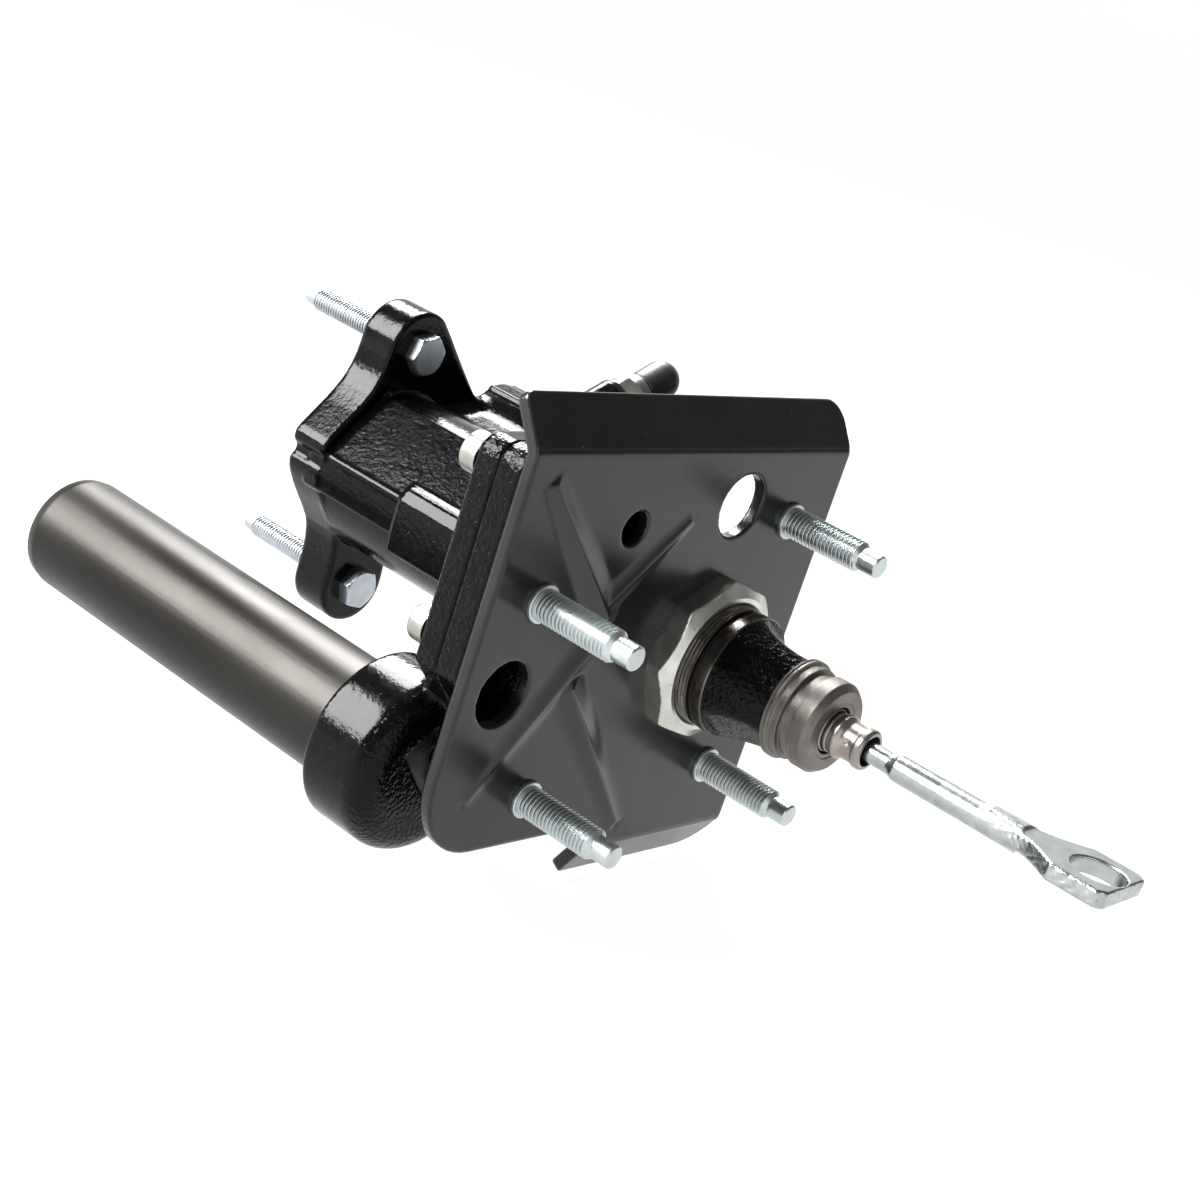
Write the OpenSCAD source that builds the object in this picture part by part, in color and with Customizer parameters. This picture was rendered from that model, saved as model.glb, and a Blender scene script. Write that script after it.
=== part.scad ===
// Hydraulic brake booster. Millimetres. +X is the pedal-rod side (rear), +Z is up.
// The origin is where the input-rod axis crosses the rear face of the mounting bracket.

/* [Mounting bracket] */
// Thickness of the stamped bracket plate
plate_t = 4.1; // [3:0.1:5]
// Left edge of the bracket, seen from the pedal rod
plate_left = -106.1; // [-110:0.1:-100]
// Right edge of the bracket
plate_right = 46.3; // [42:0.1:55]
// Height of the bend line of the top flange
plate_top = 66.8; // [64:0.1:72]
// Length of the top flange along its slope
flange_len = 16.5; // [8:0.5:20]
// Lean of the top flange, away from the pedal rod
flange_lean = 36; // [20:1:60]
// Radius of the mounting stud threads (M10)
stud_r = 4.95; // [4.9:0.01:5]
// Length of a mounting stud behind the bracket face
stud_len = 35.9; // [25:0.1:45]

/* [Power section] */
// Radius of the power piston bore
bore_r = 19; // [18:0.1:20]
// Working stroke of the power piston
stroke = 25; // [10:1:25]
// Radial running clearance of sliding pieces
run = 0.05; // [0.03:0.01:0.09]
// Outer radius of the cylinder body
body_r = 28.2; // [27:0.1:30]
// Position of the front face of the master-cylinder flange
front_x = -158; // [-162:0.5:-156]
// Half the spacing of the master-cylinder bolts
mc_half = 43; // [42:0.1:44]

/* [Accumulator] */
// Outer radius of the accumulator can
can_r = 19; // [18:0.1:19.5]
// Far end of the can
can_end = -190; // [-210:1:-150]

/* [Pedal rod] */
// Radius of the hole in the rod eye
eye_r = 8.3; // [6:0.1:9]
// Distance of the eye hole from the bracket face
eye_x = 142.9; // [135:0.1:160]

/* [Valve lever] */
// Distance of the lever pivot from the piston axis
piv_u = 42.6; // [42.2:0.1:42.8]
// Position of the lever pivot along the piston axis
piv_x = -68; // [-70:0.5:-66]

/* [Hidden] */
$fn = 64;
seam = -12.5;      // joint face between housing and rear cover
slab = -21;        // front face of the housing flange
sp_y = 50.4;       // axis of the valve bore
sp_z = 18.5;
phi = atan2(sp_z, sp_y);
sp_u = sqrt(sp_y * sp_y + sp_z * sp_z);
ac_y = -87.5;      // axis of the accumulator
ac_z = -39.5;
pin_u = 6;         // drive pin, on the piston
arm = piv_u - pin_u;
tip = sp_u - 5.4 - piv_u;              // short arm of the lever, to its rounded tip
lever_a = atan((stroke / 2) / arm);    // lever angle at rest
pin_x = piv_x + stroke / 2;
tip_x = piv_x - tip * sin(lever_a);
spool_d = 2 * tip * sin(lever_a);      // spool travel over the full stroke
head_x = -98;      // front face of the piston head
cv = [-76, -33];   // check valve axis
flange_r = plate_right - 0.02;   // right end of the folded edges
studs = [[-85.2, 22.2], [-63.7, -41.7], [24.3, 43.4], [25, -41.9]];
screws = [[-98.8, 56], [-99, 5.4], [-30, 56], [36, -46], [-40, -46]];

// 2D (y, z) outline pushed from x0 to x1
module yz(x0, x1) { translate([x0, 0, 0]) rotate([90, 0, 90]) linear_extrude(x1 - x0) children(); }
// cylinder or cone along X from x0 to x1 at (y, z)
module cx(x0, x1, r, y = 0, z = 0, r2 = -1) {
    translate([x0, y, z]) rotate([0, 90, 0]) cylinder(h = x1 - x0, r1 = r, r2 = r2 < 0 ? r : r2);
}
// ring along X
module rx(x0, x1, ri, ro, y = 0, z = 0) {
    difference() { cx(x0, x1, ro, y, z); cx(x0 - 1, x1 + 1, ri, y, z); }
}
// frame of the lever: local Y points from the piston axis to the valve axis
module up() { rotate([phi, 0, 0]) children(); }
// coil spring along X, as one swept tube
module coil(x0, x1, rm, w, turns, sides = 8, seg = 24) {
    n = turns * seg;
    pts = [for (i = [0:n]) let (a = i * 360 / seg, x = x0 + w + (x1 - x0 - 2 * w) * i / n)
        for (j = [0:sides - 1]) let (b = j * 360 / sides)
            [x + w * sin(b), (rm + w * cos(b)) * cos(a), (rm + w * cos(b)) * sin(a)]];
    faces = concat(
        [for (i = [0:n - 1]) for (j = [0:sides - 1]) let (k = (j + 1) % sides)
            [i * sides + j, i * sides + k, (i + 1) * sides + k, (i + 1) * sides + j]],
        [[for (j = [sides - 1:-1:0]) j]], [[for (j = [0:sides - 1]) n * sides + j]]);
    polyhedron(pts, faces, convexity = 10);
}

module slab2d() {
    translate([-98.7, 58]) circle(6.5);
    polygon([[-105.2, 58], [-105.2, -3], [-88, -20], [-70, -45], [-30, -54], [42, -54],
        [42, 12], [-16, 34], [-18, 64.5], [-98.7, 64.5], [-98.7, 58]]);
}
module flange2d() {
    for (s = [-1, 1]) translate([0, s * mc_half]) circle(13.8);
    circle(27.2);
    polygon([[0, 46], [-13.6, 44], [-14.9, 34], [-17, 28.4], [-21.3, 22.2], [-26.9, 15.8], [-32.2, 9.8],
        [-32.4, 6.2], [-30, 3], [-31.8, -0.4], [-30.6, -4.6], [-26.6, -10.8], [-20, -18.6], [-15.6, -24.4],
        [-13.5, -33], [-13.4, -42], [0, -46]]);
    polygon([[0, 0], [0, -46], [13.4, -42], [12.8, -32], [14.5, -24], [23, -13], [27.6, -7]]);
    polygon([[0, 46], [9.2, 53], [11.6, 50], [43.5, 18.7], [48, 10], [40, -2], [20, -8], [0, 0]]);
}

module main_housing() {
    color([0.04, 0.04, 0.045]) difference() {
        union() {
            yz(slab, seam) slab2d();
            yz(front_x, -142.2) flange2d();
            // round body with a flat panel on its upper left
            difference() {
                cx(-143, slab, body_r);
                rotate([137, 0, 0]) translate([-150, 26.4, -30]) cube([140, 10, 60]);
            }
            cx(-146, -54, 13.2, sp_y, sp_z);
            up() translate([-145, 18, -11]) cube([90, sp_u - 24, 22]);
            // side rail
            translate([-143, -30.6, -4.6]) cube([37, 10, 9.2]);
            translate([-106, -31.2, -7]) cube([86, 12, 16]);
            // accumulator cup with a rounded rear edge
            cx(-41.5, -24, 27.2, ac_y, ac_z);
            cx(-24, -16, 19.2, ac_y, ac_z);
            translate([-24, ac_y, ac_z]) rotate([0, 90, 0]) rotate_extrude() translate([19.2, 0]) intersection() {
                circle(8);
                square(8);
            }
            // neck between cup and flange
            translate([-26, -78, -38]) cube([10, 60, 30]);
            // port bosses and return boss
            for (x = [-98, -124]) up() translate([x, sp_u, 0]) rotate([-90, 0, 0]) cylinder(h = 24, r = 11);
            boss_line(-24, 0, 8.4);
        }
        // power bore, spring seat bore and pilot
        cx(-200, 0, bore_r);
        cx(front_x - 1, -138, 20.5);
        rx(-141.8, -140, 17, 21.7);
        // valve bore with its ring groove and spring pocket
        cx(-160, -60.5, 9.5, sp_y, sp_z);
        cx(-63, -56.4, 5.6, sp_y, sp_z);
        cx(-144.5, -143, 10.5, sp_y, sp_z);
        // lever pocket and pivot pin hole
        up() translate([0, 0, -3.2]) linear_extrude(6.4)
            polygon([[piv_x - 15, 16], [piv_x + 15, 16], [piv_x + 6, piv_u + 5], [piv_x - 6, piv_u + 5]]);
        up() translate([piv_x, piv_u, -9]) cylinder(h = 18, r = 2.5);
        // accumulator bore, grooves and check valve
        cx(-50, -24, can_r + 0.05, ac_y, ac_z);
        cx(-33, -30, 21, ac_y, ac_z);
        cx(-38, -36.4, 20.9, ac_y, ac_z);
        cx(-14.6, seam + 1, 5, cv[0], cv[1]);
        cx(-21.5, -14, 2.6, cv[0], cv[1]);
        cx(-25, -21, 1.5, cv[0], cv[1]);
        // seal groove in the joint face
        rx(-14.5, seam + 1, 24, 27);
        // bolt and screw holes
        for (s = [-1, 1]) cx(front_x - 1, -141, 4, 0, s * mc_half);
        for (p = screws) cx(slab - 8, seam + 1, 3.3, p[0], p[1]);
        for (p = screws) cx(-28.5, slab, 6.5, p[0], p[1]);
        // threaded ports and their passages
        for (x = [-98, -124]) up() translate([x, sp_u, 0]) rotate([-90, 0, 0]) {
            translate([0, 0, 14]) cylinder(h = 11, r = 8);
            translate([0, 0, 9.5]) cylinder(h = 5, r = 6.8);
            cylinder(h = 12, r = 2.6);
        }
        boss_line(-10, 1, 3.4);
    }
}
// cylinder on the axis of the return nipple, from distance d0 to d1 along it
module boss_line(d0, d1, r) {
    translate([-28, -41, 69.1]) rotate([26.7, 0, 0]) translate([0, d0, 0]) rotate([-90, 0, 0]) cylinder(h = d1 - d0, r = r);
}
module rear_cover() {
    color([0.05, 0.05, 0.055]) difference() {
        union() {
            yz(seam, -plate_t) slab2d();
            cx(-plate_t, 13, 19.8);
            cx(13, 18, 19.8);
            cx(18, 37.5, 19.5, r2 = 15.3);
            cx(37.5, 40, 16);
            cx(40, 42.5, 14.9);
            cx(42.5, 46.5, 13.3);
            cx(46.5, 50.5, 14.5);
            cx(50.5, 53.5, 14.5, r2 = 13.2);
        }
        rx(12, 14, 17.6, 22);
        cx(-20, 13, 11);
        cx(-11.5, -9.5, 12.2);
        cx(0, 60, 7.6);
        // oil channel from the check valve to the bore
        translate([seam - 1, 0, 0]) linear_channel();
        for (p = studs) cx(-7.2, 0, 7.4, p[0], p[1]);
        // clearance behind the large bracket hole
        cx(-20, 0, 11, -88.9, -5.7);
        for (p = screws) cx(seam - 1, -6.5, 3, p[0], p[1]);
    }
}
module linear_channel() {
    yz(0, 4) polygon([[cv[0] - 2, cv[1] - 2], [cv[0] + 2, cv[1] - 2], [-10, -6], [-10, 0], [cv[0] - 2, cv[1] + 2]]);
}
module cover_seal() { color([0.03, 0.03, 0.03]) rx(-14.5, seam, 24, 26.9); }
module cover_screws() {
    color([0.75, 0.76, 0.76]) for (p = screws) {
        cx(-27.5, -26.3, 4.9, p[0], p[1], r2 = 6.1);
        cx(-26.3, slab, 6.1, p[0], p[1]);
        cx(slab, -7, 3, p[0], p[1]);
    }
}

module plate2d() {
    translate([plate_left + 24.5, -32.3]) circle(24.5);
    polygon([[plate_left, plate_top], [plate_left, -32.3], [plate_left + 24.5, -32.3], [plate_left + 24.5, -56.8],
        [-25, -56.8], [-25, -64.7], [plate_right, -64.7], [plate_right, plate_top]]);
}
module rib(a, b, ra, rb) {
    d = [b[0] - a[0], b[1] - a[1]];
    l = norm(d);
    intersection() {
        translate([-4.6, a[0], a[1]]) rotate([atan2(d[1], d[0]), 0, 0]) rotate([-90, 0, 0]) cylinder(h = l, r1 = ra, r2 = rb);
        translate([-plate_t, -150, -150]) cube([10, 300, 300]);
    }
}
module mounting_bracket() {
    color([0.05, 0.05, 0.055]) difference() {
        union() {
            yz(-plate_t, 0) plate2d();
            translate([0, 0, plate_top]) rotate([0, -flange_lean, 0]) yz(-plate_t, -0.03) {
                polygon([[plate_left + 0.02, 0], [flange_r, 0], [flange_r, flange_len - 8],
                    [flange_r - 8, flange_len - 8], [flange_r - 8, flange_len], [plate_left + 0.02, flange_len]]);
                translate([flange_r - 8, flange_len - 8]) circle(8);
            }
            translate([0, 0, -64.7]) rotate([0, 29, 0]) yz(-plate_t, -0.03) {
                polygon([[-24.98, 0], [-24.98, -14.7], [flange_r - 11, -14.7], [flange_r - 11, -3.7], [flange_r, -3.7], [flange_r, 0]]);
                intersection() {
                    translate([flange_r - 11, -3.7]) circle(11);
                    translate([flange_r - 13, -30]) square([30, 28]);
                }
            }
            rib([-57, 20], [-94.5, 56.5], 6.5, 4.7);
            rib([-55, 21], [-29.4, 43.4], 6.3, 4.7);
            rib([-58.2, 3.9], [-89.7, -37.6], 6.5, 4.7);
            rib([-58, -9], [-14.8, -56], 6.4, 4.7);
        }
        cx(-10, 5, 19.85);
        cx(-10, 5, 10.3, -4.1, 48.7);
        cx(-10, 5, 10.2, -88.9, -5.7);
        cx(-10, 5, 5.75, -53.4, 42.9);
        for (p = studs) cx(-10, 5, stud_r, p[0], p[1]);
    }
}
module mounting_studs() {
    color([0.72, 0.74, 0.74]) for (p = studs) {
        cx(-6.6, -plate_t, 6.8, p[0], p[1]);
        cx(-plate_t, 28, stud_r, p[0], p[1]);
        rx(0, 1.7, stud_r, 6, p[0], p[1]);
        cx(28, 29, stud_r, p[0], p[1], r2 = 3.7);
        cx(29, stud_len - 0.6, 3.7, p[0], p[1]);
        cx(stud_len - 0.6, stud_len, 3.7, p[0], p[1], r2 = 3.1);
    }
}
module bracket_nut() {
    color([0.6, 0.62, 0.58]) difference() {
        intersection() {
            rotate([49.5, 0, 0]) translate([0.01, 0, 0]) rotate([0, 90, 0]) cylinder(h = 8.79, r = 26.7, $fn = 8);
            union() { cx(0, 5.4, 27.5); cx(5.4, 8.8, 27.5, r2 = 22.6); }
        }
        cx(-1, 10, 19.85);
    }
}
module nose_ring() { color([0.03, 0.03, 0.03]) rx(12.1, 13.9, 17.6, 18.8); }
module rod_guide_bush() { color([0.72, 0.58, 0.3]) rx(-9.5, 6, 7 + run, 11); }
module input_seal() { color([0.05, 0.05, 0.05]) rx(6, 13, 7.04, 11); }
module bush_retaining_ring() {
    color([0.4, 0.4, 0.42]) difference() {
        rx(-11.4, -9.6, 8, 12.1);
        translate([-13, -2.5, 0]) cube([5, 5, 14]);
    }
}

module power_piston() {
    color([0.62, 0.62, 0.6]) difference() {
        union() {
            cx(head_x, head_x + 15.5, bore_r - run);
            cx(head_x + 15.5, -16, 10);
            cx(-16, 50, 7);
        }
        rx(-92, -88, 16, 25);
        cx(head_x - 1, -96, 15);
        cx(head_x - 1, -92, 6);
        translate([-92, 0, 0]) sphere(6);
        up() translate([pin_x - 9, -1, -3.2]) cube([18, 20, 6.4]);
        up() translate([pin_x, pin_u, -8]) cylinder(h = 16, r = 2);
        cx(40, 51, 4);
    }
}
module piston_seal() { color([0.04, 0.04, 0.04]) rx(-92, -88, 16, bore_r - 0.02); }
module lever_drive_pin() { color([0.7, 0.7, 0.7]) up() translate([pin_x, pin_u, -7.6]) cylinder(h = 15.2, r = 2); }
module rod_socket() {
    color([0.6, 0.58, 0.55]) difference() {
        union() {
            cx(40, 50, 4);
            cx(50, 54.6, 7);
            cx(54.6, 56, 6.2);
            cx(56, 57.6, 7);
            cx(57.6, 59, 7, r2 = 5.9);
            cx(59, 63.6, 5.9);
            cx(63.6, 65.8, 6.5);
            cx(65.8, 66.5, 6.5, r2 = 5.8);
        }
        translate([60, 0, 0]) sphere(5);
        cx(60, 70, 4.7);
    }
}
module rod_grommet() {
    color([0.08, 0.08, 0.08]) difference() {
        translate([60, 0, 0]) sphere(4.88);
        translate([60, 0, 0]) sphere(3.9);
        cx(60, 70, 3.35);
        cx(50, 56.6, 6);
    }
}
module pedal_rod() {
    color([0.72, 0.74, 0.74]) difference() {
        union() {
            translate([60, 0, 0]) sphere(3.8);
            cx(60, 65.5, 2.9);
            cx(65.5, 74.7, 3.2);
            cx(74.7, 76.3, 3.2, r2 = 4.2);
            cx(76.3, 119, 4.2);
            translate([0, 0, -1.7]) linear_extrude(5.4) polygon([[114, -3.6], [118, -4.2], [124, -6.6], [129, -9.4],
                [134.5, -13.6], [149.6, -13.6], [152, -11.2], [152, 11.2], [149.6, 13.6], [135, 13.6], [128, 8],
                [121.5, 4.6], [114, 3.6]]);
        }
        translate([eye_x, 0, -10]) cylinder(h = 20, r = eye_r);
    }
}
module output_rod() {
    color([0.7, 0.71, 0.72]) {
        translate([-92, 0, 0]) sphere(5.9);
        cx(-169, -92, 4.5);
        cx(-172, -169, 2.6, r2 = 4.5);
    }
}
module output_rod_retainer() { color([0.5, 0.5, 0.52]) rx(-97, -96, 4.6, 14.9); }
module piston_return_spring() { color([0.35, 0.36, 0.38]) coil(-138, -97, 13.6, 1.05, 6); }
module spring_seat() {
    color([0.55, 0.56, 0.56]) difference() {
        cx(-140, -138, 20.45);
        cx(-141, -137, 6);
        for (a = [0:60:300]) rotate([a, 0, 0]) cx(-141, -137, 1.6, 9.4, 0);
    }
}
module spring_seat_ring() {
    color([0.4, 0.4, 0.42]) difference() {
        rx(-141.7, -140, 17.4, 21.6);
        translate([-143, -3, 0]) cube([5, 6, 24]);
    }
}

module valve_sleeve() {
    color([0.6, 0.6, 0.6]) difference() {
        cx(-130, -60.5, 9.5, sp_y, sp_z);
        cx(-131, -60, 6.5 + run, sp_y, sp_z);
        up() translate([piv_x - 5, 40, -4.8]) cube([10, 12, 9.6]);
        for (x = [-98, -124]) {
            up() translate([x, sp_u - 12, 0]) rotate([-90, 0, 0]) cylinder(h = 24, r = 2);
            rx(x - 3, x + 3, 8.3, 11, sp_y, sp_z);
        }
    }
}
module spool_valve() {
    color([0.7, 0.7, 0.7]) {
        cx(-118, -112, 6.5, sp_y, sp_z);
        cx(-112, -106, 4.6, sp_y, sp_z);
        cx(-106, -90, 6.5, sp_y, sp_z);
        cx(-90, -84, 4.6, sp_y, sp_z);
        cx(-84, tip_x - 2, 6.5, sp_y, sp_z);
        cx(tip_x - 2, tip_x + 2, 3.5, sp_y, sp_z);
        cx(tip_x + 2, -65, 6.5, sp_y, sp_z);
    }
}
module spool_spring() {
    color([0.4, 0.41, 0.42]) translate([0, sp_y, sp_z]) coil(-65, -56.4, 4.4, 0.42, 5, 6, 20);
}
module spool_plug() {
    color([0.6, 0.6, 0.6]) difference() {
        cx(-143, -130, 9.45, sp_y, sp_z);
        rx(-137, -134, 7.7, 11, sp_y, sp_z);
        cx(-144, -139, 4, sp_y, sp_z);
    }
}
module plug_o_ring() { color([0.04, 0.04, 0.04]) rx(-137, -134, 7.7, 9.48, sp_y, sp_z); }
module plug_retaining_ring() {
    color([0.4, 0.4, 0.42]) difference() {
        rx(-144.4, -143, 7.6, 10.4, sp_y, sp_z);
        translate([-146, sp_y - 1.6, sp_z]) cube([5, 3.2, 13]);
    }
}
module valve_lever() {
    color([0.5, 0.5, 0.52]) up() translate([piv_x, piv_u, -2.4]) rotate([0, 0, lever_a]) difference() {
        union() {
            cylinder(h = 4.8, r = 4.2);
            translate([0, tip, 0]) cylinder(h = 4.8, r = 1.6);
            translate([-1.5, 3.2, 0.01]) cube([3, tip - 3.4, 4.78]);
            translate([0, 0, 0.01]) linear_extrude(4.78) polygon([[-3.2, -1], [3.2, -1], [5, -arm - 6.5], [-5, -arm - 6.5]]);
        }
        translate([0, 0, -1]) cylinder(h = 7, r = 2.5 + run);
        translate([-2.35, -arm - 8, -1]) cube([4.7, 11, 7]);
    }
}
module lever_pivot_pin() { color([0.7, 0.7, 0.7]) up() translate([piv_x, piv_u, -9]) cylinder(h = 18, r = 2.5); }
module port_tube_seats() {
    color([0.75, 0.6, 0.3]) for (x = [-98, -124]) up() translate([x, sp_u + 9.6, 0]) rotate([-90, 0, 0]) difference() {
        union() { cylinder(h = 1.2, r = 5); translate([0, 0, 1.2]) cylinder(h = 2.9, r1 = 5, r2 = 2.4); }
        translate([0, 0, -1]) cylinder(h = 9, r = 1.4);
    }
}

module accumulator_can() {
    color([0.5, 0.48, 0.45]) difference() {
        union() {
            cx(can_end + 5, -26, can_r, ac_y, ac_z);
            cx(can_end, can_end + 6, can_r - 5, ac_y, ac_z);
            translate([can_end + 5, ac_y, ac_z]) rotate([0, 90, 0]) rotate_extrude() translate([can_r - 5, 0]) circle(5);
        }
        cx(can_end + 2.5, -20, can_r - 2, ac_y, ac_z);
        rx(-38, -36.4, 18.4, 22, ac_y, ac_z);
    }
}
module accumulator_piston() {
    color([0.7, 0.71, 0.72]) difference() {
        cx(-120, -102, can_r - 2 - run, ac_y, ac_z);
        rx(-113, -109, 14.4, 22, ac_y, ac_z);
        cx(-121, -108, 10, ac_y, ac_z);
    }
}
module accumulator_piston_seal() { color([0.04, 0.04, 0.04]) rx(-113, -109, 14.4, can_r - 2.02, ac_y, ac_z); }
module accumulator_o_ring() { color([0.04, 0.04, 0.04]) rx(-33, -30, can_r, 21, ac_y, ac_z); }
module accumulator_retaining_ring() {
    color([0.4, 0.4, 0.42]) difference() {
        rx(-37.9, -36.5, 18.4, 20.8, ac_y, ac_z);
        translate([-40, ac_y, ac_z - 2]) cube([5, 24, 4]);
    }
}
module check_valve_seat() { color([0.75, 0.6, 0.3]) rx(-14.6, seam, 1.6, 5, cv[0], cv[1]); }
module check_ball() { color([0.8, 0.8, 0.8]) translate([-16.6, cv[0], cv[1]]) sphere(2.4); }
module check_spring() { color([0.5, 0.5, 0.52]) translate([0, cv[0], cv[1]]) coil(-21.5, -18.4, 1.9, 0.25, 4, 6, 16); }

module return_nipple() {
    color([0.7, 0.72, 0.72]) translate([-28, -41, 69.1]) rotate([26.7, 0, 0]) rotate([-90, 0, 0]) difference() {
        union() {
            translate([0, 0, -8]) cylinder(h = 8.02, r = 3.4);
            cylinder(h = 5, r = 8.2, $fn = 6);
            translate([0, 0, 5]) cylinder(h = 3.4, r = 6.6);
            cylinder(h = 20, r = 4);
            translate([0, 0, 14]) cylinder(h = 2.4, r1 = 4.7, r2 = 4);
            translate([0, 0, 18]) cylinder(h = 2.4, r1 = 4.7, r2 = 4);
        }
        translate([0, 0, -9]) cylinder(h = 32, r = 1.7);
    }
}
module nipple_cap() {
    color([0.02, 0.02, 0.02]) translate([-28, -41, 69.1]) rotate([26.7, 0, 0]) rotate([-90, 0, 0]) difference() {
        union() { translate([0, 0, 9.4]) cylinder(h = 8.6, r = 5.9); translate([0, 0, 18]) sphere(5.9); }
        translate([0, 0, 9]) cylinder(h = 5, r = 4);
        translate([0, 0, 13.9]) cylinder(h = 6.7, r = 4.7);
    }
}
module master_cylinder_bolts() {
    color([0.7, 0.73, 0.76]) for (s = [-1, 1]) translate([0, 0, s * mc_half]) {
        intersection() {
            rotate([s * 12, 0, 0]) translate([-142.2, 0, 0]) rotate([0, 90, 0]) cylinder(h = 4.5, r = 7.5, $fn = 6);
            union() { cx(-142.2, -138.7, 7.6); cx(-138.7, -137.7, 7.6, r2 = 6.3); }
        }
        cx(-193.5, front_x, 3.95);
        cx(-190, -142.2, 3.9);
        cx(-198.5, -193.5, 3.1);
    }
}

main_housing();
rear_cover();
cover_seal();
cover_screws();
mounting_bracket();
mounting_studs();
bracket_nut();
nose_ring();
rod_guide_bush();
input_seal();
bush_retaining_ring();
power_piston();
piston_seal();
lever_drive_pin();
rod_socket();
rod_grommet();
pedal_rod();
output_rod();
output_rod_retainer();
piston_return_spring();
spring_seat();
spring_seat_ring();
valve_sleeve();
spool_valve();
spool_spring();
spool_plug();
plug_o_ring();
plug_retaining_ring();
valve_lever();
lever_pivot_pin();
port_tube_seats();
accumulator_can();
accumulator_piston();
accumulator_piston_seal();
accumulator_o_ring();
accumulator_retaining_ring();
check_valve_seat();
check_ball();
check_spring();
return_nipple();
nipple_cap();
master_cylinder_bolts();
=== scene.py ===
import bpy
import math
import numpy as np
from mathutils import Matrix, Vector


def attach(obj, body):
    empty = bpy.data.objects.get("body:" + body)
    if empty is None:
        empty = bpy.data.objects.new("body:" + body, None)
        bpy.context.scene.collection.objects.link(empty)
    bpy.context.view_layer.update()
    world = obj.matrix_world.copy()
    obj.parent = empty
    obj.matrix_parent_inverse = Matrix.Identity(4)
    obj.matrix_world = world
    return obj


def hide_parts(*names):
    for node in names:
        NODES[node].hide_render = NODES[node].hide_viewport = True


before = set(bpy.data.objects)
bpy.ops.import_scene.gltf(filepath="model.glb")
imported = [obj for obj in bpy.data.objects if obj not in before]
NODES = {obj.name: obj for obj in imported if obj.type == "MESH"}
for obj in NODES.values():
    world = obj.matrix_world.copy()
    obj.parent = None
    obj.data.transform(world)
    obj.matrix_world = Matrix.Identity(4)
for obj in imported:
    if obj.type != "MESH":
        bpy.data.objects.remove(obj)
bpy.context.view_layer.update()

# ---------------------------------------------------------------- camera
scene = bpy.context.scene
cam_data = bpy.data.cameras.new("camera")
cam = bpy.data.objects.new("camera", cam_data)
scene.collection.objects.link(cam)
scene.camera = cam
cam_data.lens, cam_data.sensor_width, cam_data.clip_start, cam_data.clip_end = 65.53, 36.0, 0.02, 60.0
right, up, back = (0.72412, 0.62119, 0.29961), (-0.42246, 0.05614, 0.90464), (0.54513, -0.78165, 0.30308)
cam.matrix_world = Matrix(((right[0], up[0], back[0], 0.3359), (right[1], up[1], back[1], -0.5404),
                           (right[2], up[2], back[2], 0.2080), (0, 0, 0, 1)))


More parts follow.
